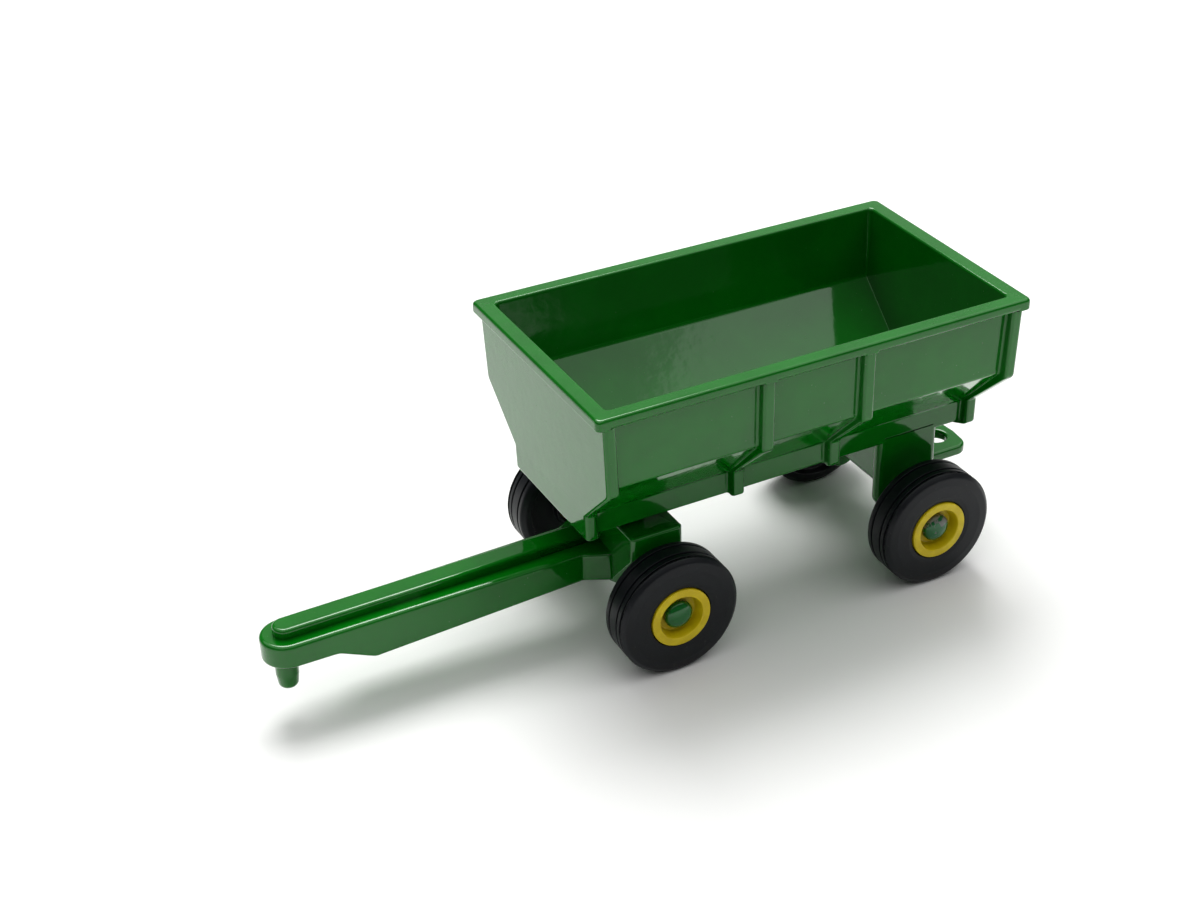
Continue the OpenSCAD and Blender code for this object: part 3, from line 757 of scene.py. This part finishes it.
def long_outline(half, tip_x, tip_radius):
    """The plan of a bar with a round front end: its left edge, the arc, and its right edge."""
    half = np.asarray(half, float)
    t = np.linspace(math.pi / 2, -math.pi / 2, 30)
    arc = np.stack([tip_x - tip_radius + tip_radius * np.cos(t), tip_radius * np.sin(t)], 1)
    plan = np.concatenate([half, arc, half[::-1] * (1, -1)])
    return plan[::-1]


def tongue_bar():
    """The tongue's plan carried from its lower edge up to its ledge, with rolled edges."""
    flare = FRONT_AXLE_X + BLOCK_HALF_LENGTH
    narrow = STEP_REAR_X - 3
    left = [
        (FRONT_AXLE_X - 2, FLARE_HALF_WIDTH),
        (flare + 0.1, FLARE_HALF_WIDTH),
        (flare + FLARE_LENGTH, TONGUE_HALF_REAR),
        (narrow, TONGUE_HALF_MIDDLE),
    ]
    left = rounded(left, [1, 0.7, 0.8, 1], closed=False)
    stations = np.linspace(narrow + EASE, NOSE_X - EASE, 44)
    wide = np.interp(stations, [narrow, NOSE_X], [TONGUE_HALF_MIDDLE, TONGUE_HALF_TIP])
    left = np.concatenate([left, np.stack([stations, wide], 1)])
    plan = long_outline(left, TONGUE_TIP_X, TONGUE_HALF_TIP)
    return slab("bar", plan, tongue_foot, ledge, 0.5, caps="strips")


def tongue_spine():
    """The raised rib along the tongue, with a round front end and rolled upper edges."""
    tip = TONGUE_TIP_X - SPINE_SETBACK
    half = SPINE_HALF_WIDTH
    left = [(FRONT_AXLE_X - 2, half), (tip - half - EASE, half)]
    plan = long_outline(left, tip, half)
    return slab(
        "spine",
        plan,
        lambda p: ledge(p, -SPINE_ROOT),
        lambda p: ledge(p, SPINE_HEIGHT),
        0.42,
        caps="strips",
    )


def carriage_block():
    """The cross block: its plan stacked upwards, with the lower corners slanted off.

    Above the slant's height, the slanted corner starts on the front face at its first place from
    the middle plus its rise times the height gained, and on the end face at its first place back
    from the front plus its rise times the height gained, until both meet the bevel.
    """
    edge = BLOCK_EDGE
    t = np.linspace(0, math.pi / 2, 7)
    roll_in, roll_up = edge * (1 - np.sin(t)), edge * (1 - np.cos(t))
    z = np.concatenate(
        [
            [BLOCK_FOOT],
            BLOCK_FOOT + roll_up,
            np.linspace(BLOCK_FOOT + edge + EASE, 12, 6),
            np.linspace(12.1, 14.6, 22),
            BLOCK_TOP - roll_up[::-1],
            [BLOCK_TOP],
        ]
    )
    rolled = np.concatenate([[edge + EASE], roll_in])
    moved = np.zeros(len(z))
    moved[: len(rolled)] = rolled
    moved[-len(rolled) :] = rolled[::-1]
    w, l, b = BLOCK_HALF_WIDTH, BLOCK_HALF_LENGTH, BLOCK_BEVEL
    gained = z - SLANT_HEIGHT
    out = softer(SLANT_FRONT + SLANT_FRONT_RISE * gained, np.full(len(z), w - b), 0.3)
    back = softer(l - SLANT_END + SLANT_END_RISE * gained, np.full(len(z), l - b), 0.3)
    quarter = np.stack(
        [np.stack([np.full(len(z), l), out], -1), np.stack([back, np.full(len(z), w)], -1)], 1
    )
    mirror_x = (quarter * (-1, 1))[:, ::-1]
    half = np.concatenate([quarter, mirror_x], 1)
    plan = np.concatenate([half, -half], 1)
    plan = rounded(plan, 0.4)
    rings = np.array([np.c_[inset(p, d), np.full(len(p), h)] for p, d, h in zip(plan, moved, z)])
    rings = rings + (FRONT_AXLE_X, 0, 0)
    return solid("block", rings)


def hitch_pin():
    """The hitch pin, turned: a faint collar, a straight part and a tapered, rounded tip."""
    profile = [
        (0, NOSE_FOOT + 1),
        (PIN_RADIUS + PIN_COLLAR, NOSE_FOOT + 1),
        (PIN_RADIUS + PIN_COLLAR, NOSE_FOOT - 0.25),
        (PIN_RADIUS, NOSE_FOOT - 0.45),
        (PIN_RADIUS, NOSE_FOOT - 2.6),
        (PIN_RADIUS - 0.25, PIN_FOOT),
        (0, PIN_FOOT),
    ]
    path = rounded(profile, [0, 0.1, 0.12, 0.15, 1.5, 0.75, 0], closed=False)
    return turned("pin", path, (PIN_X, 0, 0), "z", segments=64, around=False)


# ---------------------------------------------------------------- wheels and pins
def tyre(name, x, side):
    """A tyre, turned: a smooth sidewall, a tread with three grooves, and a hollow back."""
    half = TYRE_WIDTH / 2
    r, seat, boss = TYRE_RADIUS, RIM_RADIUS, BOSS_RADIUS
    hollow = BACK_DEPTH - half
    corners = [(seat + FIT, half - 0.8), (seat + 0.14, half - 0.14), (seat + 0.8, half - 0.02)]
    corners += [(r - 1.7, half), (r - 0.55, half - 0.13), (r, half - 0.62)]
    radii = [0.05, 0.12, 0.3, 1.2, 0.6, 0.4]
    deep, wide, foot = r - GROOVE_DEPTH, GROOVE_HALF_WIDTH, GROOVE_HALF_FOOT
    for place in GROOVES:
        corners += [(r, place + wide), (deep, place + foot)]
        corners += [(deep, place - foot), (r, place - wide)]
        radii += [0.09, 0.06, 0.06, 0.09]
    corners += [(r, 0.6 - half), (r - 0.7, 0.08 - half), (BACK_RADIUS, -half)]
    corners += [(BACK_RADIUS - 0.3, hollow), (boss + BACK_COLLAR, hollow)]
    corners += [(boss + BACK_COLLAR, -half), (boss + FIT, -half)]
    corners += [(boss + FIT, hollow + BACK_WALL), (seat + FIT, hollow + BACK_WALL)]
    radii += [0.4, 0.5, 0.25, 0.3, 0.2, 0.15, 0.05, 0.05, 0.05]
    path = rounded(corners, radii, steps=5, ease=0.03)
    middle = side * (TYRE_FACE - half)
    return turned(name, path, (x, middle, AXLE_HEIGHT), side=side, segments=144)


def wheel_rim(name, x, side):
    """A rim, turned: bore, flat lip with soft edges, and a recess that narrows inwards."""
    lip, foot = TYRE_FACE + RIM_PROUD, TYRE_FACE - RECESS_DEPTH
    boss = TYRE_FACE - TYRE_WIDTH + BOSS_SETBACK
    back = TYRE_FACE - TYRE_WIDTH + BACK_DEPTH + BACK_WALL + FIT
    corners = [
        (BORE_RADIUS, boss),
        (BOSS_RADIUS, boss),
        (BOSS_RADIUS, back),
        (RIM_RADIUS, back),
        (RIM_RADIUS, lip),
        (LIP_RADIUS, lip),
        (LIP_RADIUS - RECESS_TAPER, foot),
        (BORE_RADIUS, foot),
    ]
    path = rounded(corners, [0.05, 0.1, 0.2, 0.2, 0.16, 0.16, 0.25, 0.05])
    return turned(name, path, (x, 0, AXLE_HEIGHT), side=side)


def axle_stud(name, x, side):
    """A headed axle pin, turned: shank, then a head that is domed as a quarter of an ellipse."""
    seat = TYRE_FACE - RECESS_DEPTH + 0.3
    edge, rise = TYRE_FACE - HEAD_EDGE_DEPTH, HEAD_EDGE_DEPTH + HEAD_RISE
    t = np.linspace(0, math.pi / 2, 14)
    dome = np.stack([HEAD_RADIUS * np.cos(t), edge + rise * np.sin(t)], 1)
    shank = [
        (0, BLOCK_HALF_WIDTH - STUD_ROOT),
        (STUD_RADIUS, BLOCK_HALF_WIDTH - STUD_ROOT),
        (STUD_RADIUS, seat),
        (HEAD_RADIUS, seat),
    ]
    path = np.concatenate([shank, dome])
    path[-1, 0] = 0
    return turned(name, path, (x, 0, AXLE_HEIGHT), side=side, segments=64, around=False)


def steering_rivet():
    """The steering rivet, turned: a shank up into the boss and a domed head below."""
    seat, top = BLOCK_FOOT - RIVET_GAP, CEILING - 0.4
    crown = seat - RIVET_HEAD_HEIGHT
    corners = [
        (0, crown),
        (1.2, crown),
        (RIVET_HEAD_RADIUS, seat - 0.4),
        (RIVET_HEAD_RADIUS, seat),
        (RIVET_RADIUS, seat),
        (RIVET_RADIUS, top),
        (0, top),
    ]
    path = rounded(corners, [0, 1.2, 0.3, 0.1, 0.05, 0.2, 0], closed=False)
    return turned("rivet_pin", path, (FRONT_AXLE_X, 0, 0), "z", segments=64, around=False)


# ---------------------------------------------------------------- building the wagon
hopper = joined(
    "hopper_and_legs",
    [hopper_shell(), web_plate(), hitch_flare(), hitch_tab(), pivot_boss()]
    + [leg_plate(side) for side in (1, -1)]
    + [axle_boss(REAR_AXLE_X, side, LEG_INNER - OVERLAP) for side in (1, -1)],
)
finished(hopper, "wagon_body", "green_enamel", ENAMEL, "hopper_casting")

carriage = joined(
    "carriage_and_tongue",
    [tongue_bar(), tongue_spine(), carriage_block(), hitch_pin()]
    + [axle_boss(FRONT_AXLE_X, side, LEG_INNER - OVERLAP) for side in (1, -1)],
)
finished(carriage, "carriage", "green_enamel", ENAMEL, "front_carriage")

finished(steering_rivet(), "wagon_body", "green_rivets", STUD_PAINT, "steering_rivet")

for end, axle_x, pin_body in (
    ("front", FRONT_AXLE_X, "carriage"),
    ("rear", REAR_AXLE_X, "wagon_body"),
):
    for hand, side in (("left", 1), ("right", -1)):
        name = f"{end}_{hand}"
        wheel = f"{name}_wheel"
        piece = tyre(f"{name}_moulded_tyre", axle_x, side)
        finished(piece, wheel, "black_tyres", RUBBER, f"{name}_tyre")
        piece = wheel_rim(f"{name}_moulded_rim", axle_x, side)
        finished(piece, wheel, "yellow_rims", YELLOW, f"{name}_rim")
        piece = axle_stud(f"{name}_headed_pin", axle_x, side)
        paint = WORN_PAINT if name == "rear_left" else STUD_PAINT
        finished(piece, pin_body, "green_rivets", paint, f"{name}_axle_stud")


# ---------------------------------------------------------------- floor, light and camera
def sweep():
    """A level floor that curves up into a backdrop far behind the wagon: a straight run, a
    quarter of a circle and an upright, carried across and turned to face the camera."""
    near, bend, radius, height = -4.0, 2.2, 0.8, 3.0
    across = np.linspace(-3, 3, 3)
    t = np.linspace(0, math.pi / 2, 24)
    along = np.concatenate([[near], bend + radius * np.sin(t), [bend + radius]])
    up = np.concatenate([[0.0], radius * (1 - np.cos(t)), [height]])
    u, v = np.meshgrid(across, np.arange(len(along)), indexing="ij")
    local = np.stack([u, along[v.astype(int)]], -1)
    turn = math.radians(CAMERA_AZIMUTH)
    x = local[..., 0] * math.cos(turn) - local[..., 1] * math.sin(turn)
    y = local[..., 0] * math.sin(turn) + local[..., 1] * math.cos(turn)
    points = np.stack([x, y, up[v.astype(int)]], -1)
    index = np.arange(points.shape[0] * points.shape[1]).reshape(points.shape[:2])
    quads = np.stack([index[:-1, :-1], index[1:, :-1], index[1:, 1:], index[:-1, 1:]], -1)
    mesh = bpy.data.meshes.new("sweep")
    mesh.from_pydata(points.reshape(-1, 3).tolist(), [], quads.reshape(-1, 4).tolist())
    mesh.polygons.foreach_set("use_smooth", [True] * len(mesh.polygons))
    mesh.materials.append(floor_paper())
    result = bpy.data.objects.new("sweep", mesh)
    bpy.context.collection.objects.link(result)


def softbox(name, place, size, power, aim=(0, 0, 0.02)):
    """A rectangular area light that faces a point."""
    light = bpy.data.lights.new(name, "AREA")
    light.shape = "RECTANGLE"
    light.size, light.size_y = size
    light.energy = power
    lamp = bpy.data.objects.new(name, light)
    lamp.location = place
    lamp.rotation_euler = (Vector(aim) - Vector(place)).to_track_quat("-Z", "Y").to_euler()
    bpy.context.collection.objects.link(lamp)


def aimed_camera():
    """A long lens that looks down at the hopper's side from ahead of the wagon."""
    azimuth, elevation = math.radians(CAMERA_AZIMUTH), math.radians(CAMERA_ELEVATION)
    back = Vector(
        (
            math.sin(azimuth) * math.cos(elevation),
            -math.cos(azimuth) * math.cos(elevation),
            math.sin(elevation),
        )
    )
    aim = Vector(CAMERA_AIM) * MM
    camera = bpy.data.cameras.new("camera")
    camera.sensor_width = 36
    camera.lens = CAMERA_LENS
    camera.shift_x, camera.shift_y = CAMERA_SHIFT
    camera.clip_start, camera.clip_end = 0.01, 20
    result = bpy.data.objects.new("camera", camera)
    turn = (-back).to_track_quat("-Z", "Y").to_matrix()
    roll = Matrix.Rotation(math.radians(CAMERA_ROLL), 3, back)
    place = Matrix.Translation(aim + back * CAMERA_DISTANCE)
    result.matrix_world = place @ (roll @ turn).to_4x4()
    bpy.context.collection.objects.link(result)
    bpy.context.scene.camera = result


aimed_camera()
sweep()

world = bpy.data.worlds.new("studio")
world.use_nodes = True
sky = world.node_tree.nodes["Background"]
sky.inputs["Color"].default_value = (1, 1, 1, 1)
sky.inputs["Strength"].default_value = 0.12
bpy.context.scene.world = world
bpy.context.scene.view_settings.view_transform = "Standard"
bpy.context.scene.view_settings.look = "Medium High Contrast"

softbox("ceiling", (-0.1, -0.08, 1.0), (2.4, 2.16), 13.2, aim=(-0.1, -0.08, 0))
softbox("key", (-0.12, -0.38, 0.76), (0.45, 0.45), 4.6)
softbox("window", (-0.66, 0.35, 0.8), (0.36, 0.4), 0.25)
softbox("back_panel", (-0.62, -0.96, 0.6), (1.3, 0.6), 0.9)
